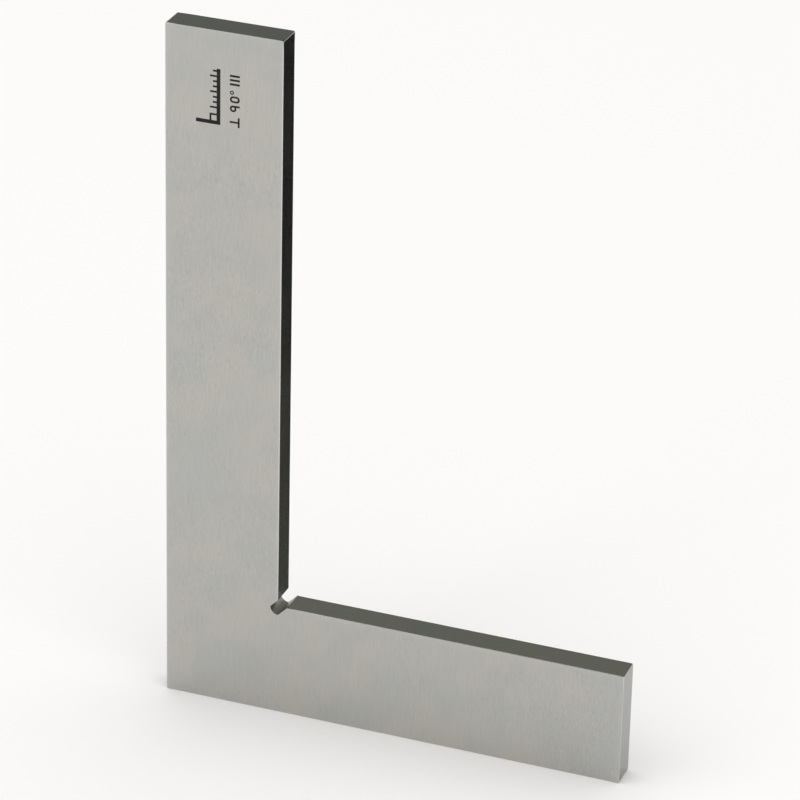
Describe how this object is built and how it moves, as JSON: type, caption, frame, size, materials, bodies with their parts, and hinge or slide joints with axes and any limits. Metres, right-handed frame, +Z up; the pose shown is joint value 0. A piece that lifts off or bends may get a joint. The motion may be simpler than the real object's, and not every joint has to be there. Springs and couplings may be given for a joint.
{
  "type": "steel square",
  "caption": "Flat one-piece steel square: a long blade and a short stock at 90 degrees, with a relief cut in the inner corner, for checking and marking right angles.",
  "frame": {"origin": "middle of the stock's outer edge, which is the face the square stands on", "axes": "+Z up along the blade, +X along the stock from the outer corner to its end, +Y through the plate from the marked front face to the back"},
  "size_m": [0.1, 0.006, 0.15],
  "materials": {
    "ground_tool_steel": "surface ground, grain along the blade, small bright chamfers",
    "etched_oxide": "matt black etched oxide"
  },
  "bodies": {
    "root": {"square_body": "ground_tool_steel", "etched_mark": "etched_oxide"}
  },
  "joints": []
}
